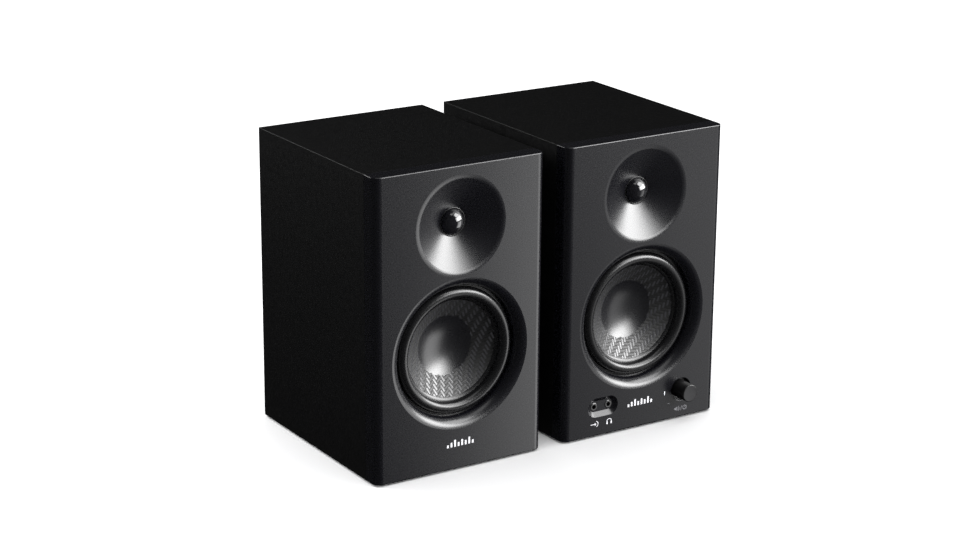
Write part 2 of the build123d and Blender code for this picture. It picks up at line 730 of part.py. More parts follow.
def amp_plate():
    """The rear plate with an opening for each connector and knob, and four board posts."""
    plate = block(MODULE_WIDTH, PANEL_LIP, MODULE_HEIGHT, 0, REAR_FACE, MODULE_Z)
    plate = fillet(plate.edges().filter_by(Axis.Y), 4.0)
    plate = chamfer(plate.faces().sort_by(Axis.Y)[-1].edges(), 0.4)
    for x, z in module_screw_places():
        plate -= rod(1.7, REAR_FACE - THROUGH, MODULE_FACE + 1, x, z)
    width, height, z = CLIP_WIDTH - 1.8, CLIP_HEIGHT - 2.8, clip_middle(ACTIVE_CLIP_Z)
    plate -= block(width, 6, height, ACTIVE_CLIP_X, REAR_FACE - 2, z)
    for x, z in clip_screw_places(ACTIVE_CLIP_X, ACTIVE_CLIP_Z):
        plate -= rod(1.3, REAR_FACE - THROUGH, MODULE_FACE + 1, x, z)
    plate -= block(23.2, 6, 14.2, MAINS_X, REAR_FACE - 2, MAINS_Z)
    for x in TRS_X:
        plate -= rod(6.1, REAR_FACE - 2, MODULE_FACE + 2, x, LINE_Z)
    for x in RCA_X:
        plate -= rod(5.0, REAR_FACE - 2, MODULE_FACE + 2, x, LINE_Z)
    for x in TONE_X:
        plate -= rod(3.6, REAR_FACE - 2, MODULE_FACE + 2, x, TONE_Z)
    for x, z in amp_post_places():
        plate += rod(3.0, AMP_BOARD_DEPTH + BOARD, REAR_FACE, x, z)
    return plate


def amp_post_places():
    return [(x, z) for x in (-40, 40) for z in (48, 122)]


def amp_board():
    """The amplifier and supply board, with its capacitors, transformer and tone controls."""
    front = AMP_BOARD_DEPTH
    pieces = [block(88, BOARD, 112, 0, front, MODULE_Z)]
    for x, z, radius, length in ((-26, 104, 8, 24), (-6, 104, 8, 24), (30, 60, 6, 18), (30, 76, 6, 18)):
        can = rod(radius, front - length, front, x, z)
        pieces.append(fillet(can.edges().filter_by(GeomType.CIRCLE).sort_by(Axis.Y)[0], 1.0))
    pieces.append(block(32, 24, 28, -20, front - 24, 44))
    pieces.append(block(14, 4, 14, 8, front - 4, 66))
    for x in TONE_X:
        pot = block(11, REAR_FACE - 0.2 - front - BOARD, 11, x, front + BOARD, TONE_Z)
        pot -= rod(SHAFT_RADIUS + RUNNING_GAP, REAR_FACE - TONE_SHAFT - 0.5, REAR_FACE, x, TONE_Z)
        pieces.append(pot)
    return pieces


def heatsink():
    """A finned block between the board and the rear plate."""
    start = AMP_BOARD_DEPTH + BOARD
    block_height, fins = 14.0, 12
    sink = block(78, 4, block_height, 0, start, 94)
    for k in range(fins):
        x = -39 + 1 + 76 * k / (fins - 1)
        sink += block(1.6, 16, block_height, x, start + 3, 94)
    return sink


def mains_inlet():
    """A figure-eight mains socket: flange, body, and two pins in the hollow."""
    socket_depth = 11.0
    lip = block(28, 1.6, 18, MAINS_X, MODULE_FACE, MAINS_Z)
    inlet = fillet(lip.edges().filter_by(Axis.Y), 2.0)
    inlet += block(23, 17, 14, MAINS_X, MODULE_FACE - 17, MAINS_Z)
    hollow_start = MODULE_FACE + 1.6 - socket_depth
    inlet -= stadium(17.6, 9.4, hollow_start, MODULE_FACE + 3, MAINS_X, MAINS_Z)
    for side in (-1, 1):
        pin = rod(1.2, hollow_start - 1, hollow_start + 9, MAINS_X + side * 4.3, MAINS_Z)
        inlet += fillet(pin.edges().sort_by(Axis.Y)[-1], 0.6)
    return inlet


def rca_jacks():
    """Two phono sockets: a collar on the plate and a barrel with a hole down the middle."""
    start = AMP_BOARD_DEPTH + BOARD
    jacks = []
    for x in RCA_X:
        jack = block(12, REAR_FACE - start, 12, x, start, LINE_Z)
        jack += rod(4.8, REAR_FACE, MODULE_FACE, x, LINE_Z)
        jack += rod(6.2, MODULE_FACE, MODULE_FACE + 1.4, x, LINE_Z)
        barrel = rod(RCA_RADIUS, MODULE_FACE, DEPTH + REAR_REACH - 0.2, x, LINE_Z)
        jack += chamfer(barrel.edges().filter_by(GeomType.CIRCLE).sort_by(Axis.Y)[-1], 0.4)
        jacks.append(jack - rod(1.65, REAR_FACE - 4, DEPTH + REAR_REACH, x, LINE_Z))
    return jacks


def trs_jacks():
    """Two 6.35 mm sockets, each held in the plate by a round nut."""
    start = AMP_BOARD_DEPTH + BOARD
    jacks = []
    for x in TRS_X:
        jack = block(16, REAR_FACE - start, 16, x, start, LINE_Z)
        jack += rod(6.0, REAR_FACE, MODULE_FACE + 3.6, x, LINE_Z)
        nut = rod(7.6, MODULE_FACE, MODULE_FACE + 2.4, x, LINE_Z)
        jack += chamfer(nut.edges().filter_by(GeomType.CIRCLE).sort_by(Axis.Y)[-1], 0.5)
        jacks.append(jack - rod(TRS_BORE, start + 4, MODULE_FACE + 5, x, LINE_Z))
    return jacks


def tone_knob(x):
    """A fluted knob moulded in one with its shaft, with a pointer groove in its end."""
    start, end = MODULE_FACE + 0.4, DEPTH + REAR_REACH
    knob = rod(TONE_RADIUS, start, end)
    knob = fillet(knob.edges().filter_by(GeomType.CIRCLE).sort_by(Axis.Y)[-1], 0.5)
    for fx, fz in around(16, TONE_RADIUS + 0.15, 90 + 360 / 32):
        knob -= rod(0.5, start + 1.5, end + THROUGH, fx, fz)
    knob -= block(0.8, 1.0, TONE_RADIUS, 0, end - 0.4, TONE_RADIUS / 2 + 0.6)
    knob += rod(SHAFT_RADIUS, REAR_FACE - TONE_SHAFT, start)
    return Pos(x, 0, TONE_Z) * knob


def module_screws():
    return [screw(x, z, MODULE_FACE, REAR_FACE - 6, 2.8, 1.25) for x, z in module_screw_places()]


# The two speakers


def shared_pieces():
    """What the two speakers have in common, in the speaker's own frame."""
    return {
        "cabinet": cabinet(),
        "feet": feet(),
        "damping_pad": damping_pad(),
        "port_tube": port_tube(),
        "woofer_basket": woofer_basket(),
        "woofer_surround": woofer_surround(),
        "woofer_cone": woofer_cone(),
        "woofer_dust_cap": woofer_dust_cap(),
        "woofer_voice_coil": woofer_voice_coil(),
        "woofer_spider": woofer_spider(),
        "woofer_magnet": woofer_magnet(),
        "woofer_steel": woofer_steel(),
        "tweeter_frame": tweeter_frame(),
        "tweeter_dome": tweeter_dome(),
        "tweeter_surround": tweeter_surround(),
        "tweeter_motor": tweeter_motor(),
    }


def passive_pieces():
    face = REAR_FACE
    return {
        "baffle": baffle(),
        "back_panel": passive_back_panel(),
        "terminal_block": clip_housing(0, PASSIVE_CLIP_Z, face),
        "terminal_lever_red": clip_lever(0, PASSIVE_CLIP_Z, face, -1),
        "terminal_lever_black": clip_lever(0, PASSIVE_CLIP_Z, face, 1),
        "screws": driver_screws() + port_screws() + clip_screws(0, PASSIVE_CLIP_Z, face, 6),
        "crossover_board": crossover_board(),
    }


def active_pieces():
    clip = (ACTIVE_CLIP_X, ACTIVE_CLIP_Z, MODULE_FACE)
    return {
        "baffle": active_baffle(),
        "back_panel": active_back_panel(),
        "terminal_block": clip_housing(*clip),
        "terminal_lever_red": clip_lever(*clip, -1),
        "terminal_lever_black": clip_lever(*clip, 1),
        "screws": driver_screws() + port_screws() + module_screws() + clip_screws(*clip, 5),
        "front_jacks": front_jacks(),
        "front_board": front_board(),
        "led_lens": led_lens(),
        "volume_encoder": volume_encoder(),
        "volume_plunger": volume_plunger(),
        "volume_shaft": volume_shaft(),
        "volume_knob": volume_knob(),
        "amp_plate": amp_plate(),
        "amp_board": amp_board(),
        "heatsink": heatsink(),
        "mains_inlet": mains_inlet(),
        "rca_jacks": rca_jacks(),
        "trs_jacks": trs_jacks(),
        "treble_knob": tone_knob(TONE_X[0]),
        "bass_knob": tone_knob(TONE_X[1]),
    }


def write(node, pieces, place):
    """One file per node. A node of several pieces keeps them as separate solids."""
    if not isinstance(pieces, list):
        pieces = [pieces]
    solids = [solid for piece in pieces for solid in (place * piece).solids()]
    export_step(solids[0] if len(solids) == 1 else Compound(solids), f"parts/{node}.step")


os.makedirs("parts", exist_ok=True)
SHARED = shared_pieces()
for prefix, place, own in (("passive", LEFT, passive_pieces()), ("active", RIGHT, active_pieces())):
    for name, pieces in {**SHARED, **own}.items():
        write(f"{prefix}_{name}", pieces, place)
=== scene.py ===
import json
from math import cos, floor, pi, radians, sin, sqrt

import bmesh
import bpy
import numpy as np
from mathutils import Matrix, Vector

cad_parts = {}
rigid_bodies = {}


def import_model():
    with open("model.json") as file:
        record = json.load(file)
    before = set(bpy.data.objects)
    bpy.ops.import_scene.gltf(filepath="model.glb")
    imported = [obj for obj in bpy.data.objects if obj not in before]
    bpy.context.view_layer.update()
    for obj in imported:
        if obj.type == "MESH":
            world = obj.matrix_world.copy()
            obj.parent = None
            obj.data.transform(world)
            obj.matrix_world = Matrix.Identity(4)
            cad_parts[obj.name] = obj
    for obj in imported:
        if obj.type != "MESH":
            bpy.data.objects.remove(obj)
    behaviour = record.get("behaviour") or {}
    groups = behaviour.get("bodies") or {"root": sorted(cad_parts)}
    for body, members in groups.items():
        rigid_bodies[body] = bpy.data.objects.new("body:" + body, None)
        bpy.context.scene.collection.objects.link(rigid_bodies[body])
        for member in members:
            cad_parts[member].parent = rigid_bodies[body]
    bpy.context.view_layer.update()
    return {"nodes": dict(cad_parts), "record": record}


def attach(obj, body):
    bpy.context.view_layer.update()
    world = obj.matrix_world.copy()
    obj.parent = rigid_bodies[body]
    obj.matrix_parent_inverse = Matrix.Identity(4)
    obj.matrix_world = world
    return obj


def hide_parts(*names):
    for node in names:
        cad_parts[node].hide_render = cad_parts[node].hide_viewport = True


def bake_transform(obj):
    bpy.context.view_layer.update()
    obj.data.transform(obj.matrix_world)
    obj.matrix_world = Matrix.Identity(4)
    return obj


# A pair of small monitor speakers. Metres, +Z up, fronts facing -Y. Shapes are worked out in
# millimetres in each speaker's own frame: x from its middle, y as the depth behind the front of
# its baffle, and z from the bottom of its cabinet.

MM = 0.001
FRONT_Y = -82.75
FOOT_HEIGHT = 1.5
SPEAKER_X = {"passive": -79.5, "active": 79.5}

WOOFER_Z = 86.5
TWEETER_Z = 181.0
BAFFLE = 12.0
REAR_PLATE = 169.0
KNOB_X, KNOB_Z, KNOB_REACH = 38.4, 22.0, 12.0

# The camera's azimuth from +Y towards +X, in degrees. The glow cards stand where it is mirrored.
CAMERA_AZIMUTH = 32.85

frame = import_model()
SLOT_OF = {part["node"]: part["material_slot"] for part in frame["record"]["subparts"]}


def at(side, x, depth, z):
    """A point of one speaker in the row frame, in metres."""
    return Vector(((SPEAKER_X[side] + x) * MM, (FRONT_Y + depth) * MM, (FOOT_HEIGHT + z) * MM))


# Meshes


def new_object(name, points, faces, place=None, sharp=35):
    """A smooth-shaded mesh object from points in millimetres, edges above the sharp angle kept crisp."""
    mesh = bpy.data.meshes.new(name)
    mesh.from_pydata([tuple(c * MM for c in p) for p in points], [], faces)
    shell = bmesh.new()
    shell.from_mesh(mesh)
    bmesh.ops.recalc_face_normals(shell, faces=shell.faces)
    shell.to_mesh(mesh)
    shell.free()
    mesh.shade_smooth()
    mesh.set_sharp_from_angle(angle=radians(sharp))
    piece = bpy.data.objects.new(name, mesh)
    bpy.context.scene.collection.objects.link(piece)
    if place is not None:
        piece.matrix_world = place
    return piece


def turned(name, outline, place, segments=128, sharp=35, shift=None):
    """A closed round solid about the depth axis, from its (radius, depth) outline.

    An outline that starts and ends on the axis is closed there, any other joins its ends. shift
    gives an extra depth for points, from their x and z.
    """
    angles = 2 * pi * np.arange(segments) / segments
    on_axis = outline[0][0] < 1e-6
    rings = outline[1:-1] if on_axis else outline
    points, faces = [], []
    for radius, depth in rings:
        for x, z in zip(radius * np.cos(angles), radius * np.sin(angles)):
            points.append([x, depth, z])
    if shift is not None:
        for point in points:
            point[1] += shift(point[0], point[1], point[2])
    count = len(rings)
    for k in range(count - 1 if on_axis else count):
        a, b = k * segments, (k + 1) % count * segments
        for j in range(segments):
            n = (j + 1) % segments
            faces.append((a + j, b + j, b + n, a + n))
    if on_axis:
        for ring, (_, depth) in ((0, outline[0]), (count - 1, outline[-1])):
            pole = len(points)
            points.append([0, depth, 0])
            base = ring * segments
            for j in range(segments):
                n = (j + 1) % segments
                fan = (pole, base + j, base + n) if ring == 0 else (pole, base + n, base + j)
                faces.append(fan)
    return new_object(name, points, faces, place, sharp)


def arc(centre, radius, start, end, count):
    """Points of an arc in an outline, by angle in degrees from +radius towards +depth."""
    angles = [radians(start + (end - start) * k / (count - 1)) for k in range(count)]
    return [(centre[0] + radius * cos(a), centre[1] + radius * sin(a)) for a in angles]


def dish(radius, middle, rim, count):
    """Outline points of a shallow dome or dish, from the middle outwards."""
    height = rim - middle
    ball = (radius**2 + height**2) / (2 * abs(height))
    sign = 1 if height > 0 else -1
    points = []
    for k in range(count):
        r = radius * k / (count - 1)
        points.append((r, middle + sign * (ball - sqrt(ball**2 - r**2))))
    return points


def plates(name, shapes, place, thick=0.05):
    """Thin raised marks: each shape is a flat outline of (x, z) points, at depth 0 and proud of it."""
    points, faces = [], []
    for shape in shapes:
        n, first = len(shape), len(points)
        points += [(x, -thick, z) for x, z in shape]
        points += [(x, 0.0, z) for x, z in shape]
        faces.append(tuple(first + k for k in range(n)))
        faces.append(tuple(first + n + n - 1 - k for k in range(n)))
        for k in range(n):
            m = (k + 1) % n
            faces.append((first + k, first + n + k, first + n + m, first + m))
    return new_object(name, points, faces, place, 20)


def bar(x, z, width, height, lean=0.0):
    """A rectangle about (x, z), its top pushed sideways by lean."""
    w, h = width / 2, height / 2
    return [(x - w - lean, z - h), (x + w - lean, z - h), (x + w + lean, z + h), (x - w + lean, z + h)]


def stroke(x0, z0, x1, z1, width):
    """A line of some width between two points."""
    dx, dz = x1 - x0, z1 - z0
    length = sqrt(dx * dx + dz * dz)
    nx, nz = -dz / length * width / 2, dx / length * width / 2
    return [(x0 + nx, z0 + nz), (x0 - nx, z0 - nz), (x1 - nx, z1 - nz), (x1 + nx, z1 + nz)]


def bow(x, z, radius, start, end, width, count=20):
    """A curved line about (x, z), by angles in degrees from +x."""
    angles = [radians(start + (end - start) * k / count) for k in range(count + 1)]
    outer = [(x + (radius + width / 2) * cos(a), z + (radius + width / 2) * sin(a)) for a in angles]
    inner = [(x + (radius - width / 2) * cos(a), z + (radius - width / 2) * sin(a)) for a in angles]
    return outer + inner[::-1]


# Materials


class Paint:
    """A procedural material under construction: a Principled shader and the nodes that feed it."""

    def __init__(self, name, roughness=0.5, **sockets):
        self.material = bpy.data.materials.new(name)
        self.material.use_nodes = True
        self.tree = self.material.node_tree
        self.shader = self.tree.nodes["Principled BSDF"]
        self.shader.inputs["Roughness"].default_value = roughness
        for socket, value in sockets.items():
            self.shader.inputs[socket.replace("_", " ")].default_value = value
        self.place = self.add("ShaderNodeTexCoord").outputs["Object"]

    def add(self, kind, **settings):
        node = self.tree.nodes.new(kind)
        for key, value in settings.items():
            setattr(node, key, value)
        return node

    def join(self, output, socket):
        self.tree.links.new(output, socket)

    def noise(self, scale, detail=3.0, roughness=0.5, stretch=None):
        """A noise value; scale is in grains per metre."""
        node = self.add("ShaderNodeTexNoise")
        node.inputs["Scale"].default_value = scale
        node.inputs["Detail"].default_value = detail
        node.inputs["Roughness"].default_value = roughness
        self.join(self.stretched(stretch), node.inputs["Vector"])
        return node.outputs["Fac"]

    def stretched(self, stretch):
        if stretch is None:
            return self.place
        node = self.add("ShaderNodeMapping")
        node.inputs["Scale"].default_value = stretch
        self.join(self.place, node.inputs["Vector"])
        return node.outputs["Vector"]

    def cells(self, scale, feature="F1", stretch=None):
        node = self.add("ShaderNodeTexVoronoi", feature=feature)
        node.inputs["Scale"].default_value = scale
        self.join(self.stretched(stretch), node.inputs["Vector"])
        return node.outputs["Distance"]

    def math(self, operation, a, b=None, c=None):
        node = self.add("ShaderNodeMath", operation=operation)
        for socket, value in zip(node.inputs, (a, b, c)):
            if value is None:
                continue
            if isinstance(value, (int, float)):
                socket.default_value = value
            else:
                self.join(value, socket)
        return node.outputs["Value"]

    def axes(self):
        node = self.add("ShaderNodeSeparateXYZ")
        self.join(self.place, node.inputs["Vector"])
        return node.outputs["X"], node.outputs["Y"], node.outputs["Z"]

    def ramp(self, value, stops):
        """Colours along a value: stops are (position, colour)."""
        node = self.add("ShaderNodeValToRGB")
        while len(node.color_ramp.elements) < len(stops):
            node.color_ramp.elements.new(0.5)
        for element, (position, colour) in zip(node.color_ramp.elements, stops):
            element.position = position
            element.color = (*colour, 1.0)
        self.join(value, node.inputs["Fac"])
        return node.outputs["Color"]

    def span(self, value, low, high, start=0.3, end=0.7):
        node = self.add("ShaderNodeMapRange")
        node.inputs["From Min"].default_value = start
        node.inputs["From Max"].default_value = end
        node.inputs["To Min"].default_value = low
        node.inputs["To Max"].default_value = high
        self.join(value, node.inputs["Value"])
        return node.outputs["Result"]

    def colour(self, output):
        self.join(output, self.shader.inputs["Base Color"])
        return self

    def mottle(self, colour, spread, scale, stretch=None):
        """The base colour, darker and lighter by spread in patches."""
        dark = tuple(c * (1 - spread) for c in colour)
        light = tuple(min(c * (1 + spread), 1.0) for c in colour)
        value = self.noise(scale, 5.0, 0.6, stretch)
        return self.colour(self.ramp(value, [(0.3, dark), (0.7, light)]))

    def rough(self, low, high, scale, stretch=None):
        self.join(self.span(self.noise(scale, 4.0, 0.6, stretch), low, high), self.shader.inputs["Roughness"])
        return self

    def bump(self, height, depth, strength=1.0):
        """Raises the surface by height times depth, in metres."""
        node = self.add("ShaderNodeBump")
        node.inputs["Strength"].default_value = strength
        node.inputs["Distance"].default_value = depth
        self.join(height, node.inputs["Height"])
        previous = self.shader.inputs["Normal"].links
        if previous:
            self.join(previous[0].from_socket, node.inputs["Normal"])
        self.join(node.outputs["Normal"], self.shader.inputs["Normal"])
        return self


def vinyl_wrap():
    """Black vinyl foil pressed with a fine leather-like grain."""
    paint = Paint("vinyl_wrap", Specular_IOR_Level=0.35)
    paint.mottle((0.0018, 0.0018, 0.0021), 0.25, 900)
    paint.rough(0.42, 0.56, 260)
    paint.bump(paint.cells(1500), 0.00016, 0.55)
    return paint.bump(paint.noise(3200, 2.0), 0.00005, 0.5).material


def baffle_paint():
    """Satin charcoal lacquer with a faint violet cast."""
    paint = Paint("baffle_paint", Specular_IOR_Level=0.6)
    paint.mottle((0.0020, 0.0020, 0.0032), 0.05, 700)
    paint.rough(0.265, 0.285, 900)
    return paint.bump(paint.noise(1400, 2.0), 0.000006, 0.2).material


def back_paint():
    """Matt black paint on board."""
    paint = Paint("back_paint")
    paint.mottle((0.02, 0.02, 0.021), 0.2, 420)
    paint.rough(0.55, 0.72, 300)
    return paint.bump(paint.noise(1500, 4.0), 0.00006, 0.5).material


def moulded(name, colour, low=0.4, high=0.55, grain=2200, depth=0.00004):
    """Moulded plastic or rubber with an even spark-eroded texture."""
    paint = Paint(name)
    paint.mottle(colour, 0.15, 700)
    paint.rough(low, high, 350)
    return paint.bump(paint.noise(grain, 3.0), depth, 0.6).material


def surround_rubber():
    """Satin butyl rubber with a little bloom."""
    paint = Paint("surround_rubber", Specular_IOR_Level=0.5)
    paint.mottle((0.0030, 0.0030, 0.0034), 0.12, 900)
    paint.rough(0.26, 0.285, 900)
    return paint.bump(paint.noise(3600, 2.0), 0.000006, 0.2).material


TOW_WIDTH = 2.3
TOW_PROUD = 0.16


def weave_height(x, z):
    """How far a two-over-two twill of flat tows stands proud at a point, in millimetres.

    The tows run along the diagonals, so the steps of the twill line up in upright columns.
    """
    rise, fall = (x + z) / TOW_WIDTH / sqrt(2), (x - z) / TOW_WIDTH / sqrt(2)
    step = (floor(rise) + floor(fall)) % 4
    rise, fall = rise - floor(rise), fall - floor(fall)
    if step < 2:
        across, along = fall, (step + rise) / 2
    else:
        across, along = rise, (step - 2 + fall) / 2
    return TOW_PROUD * sqrt(max(sin(pi * across), 0.0)) * (0.45 + 0.55 * sin(pi * along))


def woven_cone():
    """Twill of dark tows in glossy resin, on the same steps as the raised ones. Its colour is partly painted
    light: painted sheen on the tows that run one way, painted shade at the tow edges and in the gaps between
    tows.
    """
    paint = Paint("woven_cone", Specular_IOR_Level=0.7)
    x, _, z = paint.axes()
    scale, far = 1 / (TOW_WIDTH * sqrt(2) * MM), 100.0
    rise = paint.math("MULTIPLY_ADD", paint.math("ADD", x, z), scale, far)
    fall = paint.math("MULTIPLY_ADD", paint.math("SUBTRACT", x, z), scale, far)
    steps = paint.math("ADD", paint.math("FLOOR", rise), paint.math("FLOOR", fall))
    falling = paint.math("LESS_THAN", paint.math("MODULO", steps, 4.0), 2.0)
    rise, fall = paint.math("FRACT", rise), paint.math("FRACT", fall)
    across = paint.math("MULTIPLY_ADD", paint.math("SUBTRACT", fall, rise), falling, rise)
    crown = paint.math("SINE", paint.math("MULTIPLY", across, pi))
    fibres = paint.noise(2600, 3.0, 0.6)
    # Painted sheen: the tows running one way get a lighter colour than the tows running the other way.
    painted_sheen_side = paint.math("MULTIPLY_ADD", falling, -0.5, 1.0)
    level = paint.math("MULTIPLY", crown, painted_sheen_side)
    # Painted shade: the colour darkens towards the edges of each tow and into the gaps between tows, with
    # real fibre variation on top.
    painted_sheen_and_shade = paint.math("MULTIPLY", level, paint.math("MULTIPLY_ADD", fibres, 0.8, 0.6))
    dark, middle, light = (0.001, 0.001, 0.001), (0.004, 0.004, 0.0045), (0.022, 0.022, 0.025)
    paint.colour(paint.ramp(painted_sheen_and_shade, [(0.25, dark), (0.5, middle), (1.0, light)]))
    paint.join(paint.span(level, 0.7, 0.3, 0.2, 0.9), paint.shader.inputs["Roughness"])
    return paint.bump(fibres, 0.00004, 0.5).material


def cap_plastic():
    """Satin plastic of the dust cap."""
    paint = Paint("cap_plastic", Specular_IOR_Level=0.7)
    paint.mottle((0.004, 0.004, 0.005), 0.1, 900)
    paint.rough(0.27, 0.29, 900)
    return paint.bump(paint.noise(2600, 2.0), 0.00002, 0.4).material


def dome_gloss():
    """Glossy black coating of the tweeter dome."""
    paint = Paint("dome_gloss", Coat_Weight=1.0, Coat_Roughness=0.04)
    paint.mottle((0.004, 0.004, 0.005), 0.3, 800)
    return paint.rough(0.10, 0.16, 500).material


def coil_copper():
    """Close turns of lacquered copper wire."""
    paint = Paint("coil_copper", Metallic=1.0)
    paint.mottle((0.72, 0.36, 0.18), 0.2, 900)
    paint.rough(0.25, 0.4, 500)
    _, y, _ = paint.axes()
    turns = paint.math("ABSOLUTE", paint.math("SINE", paint.math("MULTIPLY", y, pi / (0.35 * MM))))
    return paint.bump(turns, 0.00018, 0.8).material


def spider_cloth():
    """Resin-stiffened cloth: a fine plain weave."""
    paint = Paint("spider_cloth")
    paint.mottle((0.60, 0.40, 0.19), 0.2, 500)
    paint.rough(0.75, 0.9, 400)
    x, _, z = paint.axes()
    threads = [paint.math("SINE", paint.math("MULTIPLY", c, 2 * pi / (0.9 * MM))) for c in (x, z)]
    return paint.bump(paint.math("MULTIPLY", *threads), 0.0002, 0.8).material


def wadding():
    """Loose white polyester wool."""
    paint = Paint("wadding", Sheen_Weight=0.4)
    paint.mottle((0.72, 0.72, 0.69), 0.12, 260)
    paint.rough(0.85, 1.0, 500)
    return paint.bump(paint.noise(420, 8.0, 0.75), 0.003, 0.9).material


def ferrite():
    """Dull sintered ferrite."""
    paint = Paint("ferrite")
    paint.mottle((0.055, 0.055, 0.06), 0.35, 900)
    paint.rough(0.5, 0.7, 600)
    return paint.bump(paint.noise(900, 6.0, 0.7), 0.0001, 0.6).material


def metal(name, colour, low, high, grain, stretch=None):
    """Bare or plated metal, with its drawing or turning marks along one way."""
    paint = Paint(name, Metallic=1.0)
    paint.mottle(colour, 0.08, 300, stretch)
    paint.rough(low, high, grain, stretch)
    return paint.bump(paint.noise(grain, 4.0, 0.6, stretch), 0.00003, 0.5).material


def painted_steel(name, colour):
    """Steel under a thin coat of semi-gloss paint."""
    paint = Paint(name, Specular_IOR_Level=0.5)
    paint.mottle(colour, 0.2, 600)
    paint.rough(0.35, 0.5, 400)
    return paint.bump(paint.noise(1400, 4.0), 0.00004, 0.5).material


def circuit_board():
    """Green solder mask with copper tracks showing through and tinned pads."""
    paint = Paint("circuit_board")
    x, _, z = paint.axes()
    wander = paint.math("MULTIPLY", paint.noise(60, 1.0), 0.02)
    lines = [
        paint.math("PINGPONG", paint.math("ADD", c, wander), 1.6 * MM) for c in (x, z)
    ]
    track = paint.math("LESS_THAN", paint.math("MINIMUM", *lines), 0.35 * MM)
    pads = paint.math("LESS_THAN", paint.cells(230), 0.22)
    value = paint.math("MULTIPLY_ADD", pads, 0.5, paint.math("MULTIPLY", track, 0.4))
    green, light, tin = (0.012, 0.11, 0.035), (0.03, 0.2, 0.06), (0.62, 0.62, 0.6)
    paint.colour(paint.ramp(value, [(0.0, green), (0.38, light), (0.49, tin)]))
    paint.rough(0.3, 0.45, 300)
    return paint.bump(value, 0.00005, 0.5).material


def led_clear():
    """Clear light pipe with a white lamp behind it."""
    paint = Paint("led_clear", Transmission_Weight=0.3, Emission_Strength=0.1)
    paint.mottle((0.85, 0.88, 0.92), 0.05, 900)
    glow = paint.ramp(paint.noise(500, 2.0), [(0.2, (0.75, 0.85, 1.0)), (0.8, (1.0, 1.0, 1.0))])
    paint.join(glow, paint.shader.inputs["Emission Color"])
    return paint.rough(0.2, 0.3, 500).material


def print_ink(name, colour):
    """Screen-printed ink, a little uneven."""
    paint = Paint(name)
    paint.mottle(colour, 0.08, 1500)
    paint.rough(0.4, 0.55, 700)
    return paint.bump(paint.noise(4000, 3.0), 0.00001, 0.5).material


SLOTS = {
    "vinyl_wrap": vinyl_wrap(),
    "baffle_paint": baffle_paint(),
    "back_paint": back_paint(),
    "foot_rubber": moulded("foot_rubber", (0.022, 0.022, 0.022), 0.7, 0.85, 1500, 0.00008),
    "wadding": wadding(),
    "port_plastic": moulded("port_plastic", (0.016, 0.016, 0.017), 0.42, 0.55),
    "black_steel": painted_steel("black_steel", (0.012, 0.012, 0.013)),
    "surround_rubber": surround_rubber(),
    "woven_cone": woven_cone(),
    "cap_plastic": cap_plastic(),
    "coil_copper": coil_copper(),
    "spider_cloth": spider_cloth(),
    "ferrite": ferrite(),
    "zinc_steel": metal("zinc_steel", (0.62, 0.58, 0.48), 0.3, 0.45, 900),
    "dome_gloss": dome_gloss(),
    "clip_plastic": moulded("clip_plastic", (0.018, 0.018, 0.018), 0.38, 0.5),
    "red_plastic": moulded("red_plastic", (0.42, 0.012, 0.012), 0.25, 0.36, 1600, 0.00002),
    "lever_plastic": moulded("lever_plastic", (0.010, 0.010, 0.010), 0.25, 0.36, 1600, 0.00002),
    "black_screws": painted_steel("black_screws", (0.02, 0.02, 0.022)),
    "circuit_board": circuit_board(),
    "jack_nickel": metal("jack_nickel", (0.20, 0.20, 0.20), 0.28, 0.4, 900),
    "led_clear": led_clear(),
    "encoder_metal": metal("encoder_metal", (0.56, 0.56, 0.55), 0.3, 0.42, 900, (1.0, 0.15, 1.0)),
    "knob_plastic": moulded("knob_plastic", (0.002, 0.002, 0.0023), 0.42, 0.5, 2600, 0.00002),
    "amp_plate_paint": painted_steel("amp_plate_paint", (0.017, 0.017, 0.018)),
    "heatsink_aluminium": metal(
        "heatsink_aluminium", (0.72, 0.72, 0.73), 0.32, 0.46, 700, (1.0, 1.0, 0.1)
    ),
    "socket_plastic": moulded("socket_plastic", (0.014, 0.014, 0.014), 0.35, 0.48),
}
WHITE_INK = print_ink("white_ink", (0.46, 0.46, 0.48))
GREY_INK = print_ink("grey_ink", (0.13, 0.13, 0.14))
KNOB_END = moulded("knob_end", (0.010, 0.010, 0.011), 0.32, 0.42, 2600, 0.00002)
RED_RING = moulded("red_ring", (0.5, 0.015, 0.015), 0.3, 0.4)
WHITE_RING = moulded("white_ring", (0.75, 0.75, 0.73), 0.3, 0.4)

for node, piece in frame["nodes"].items():
    piece.data.materials.clear()
    piece.data.materials.append(SLOTS[SLOT_OF[node]])


def finish_piece(piece, node_slot=None, material=None):
    """Gives a piece its material: the one for the named slot, or the one given."""
    piece.data.materials.append(material or SLOTS[node_slot])
    return piece


# Drivers


def cone(side, turn):
    """The woven cone, its threads raised on the front. turn rolls the weave about the axis."""
    inner, outer, front_depth, slope, thick = 12.85, 36.4, 12.8, 0.626, 0.8
    rings = 58
    front = []
    for k in range(rings):
        radius = outer - (outer - inner) * k / (rings - 1)
        front.append((radius, front_depth + (outer - radius) * slope))
    neck = inner + 0.75
    outline = [(38.7, front_depth), (37.6, front_depth)] + front
    outline += [(inner, 30.5), (neck, 30.5), (neck, front_depth + (outer - neck) * slope + thick)]
    outline += [(outer, front_depth + thick), (38.7, front_depth + thick)]

    def raised(x, y, z):
        radius = sqrt(x * x + z * z)
        surface = front_depth + (outer - radius) * slope
        if abs(y - surface) > 0.05 or not inner + 0.5 < radius < outer - 0.2:
            return 0.0
        return -weave_height(x, z)

    place = Matrix.Translation(at(side, 0, 0, WOOFER_Z)) @ Matrix.Rotation(radians(turn), 4, "Y")
    piece = turned(f"{side}_cone_woven", outline, place, 720, 60, raised)
    finish_piece(piece, "woven_cone")
    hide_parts(f"{side}_woofer_cone")
    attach(piece, f"{side} woofer cone")


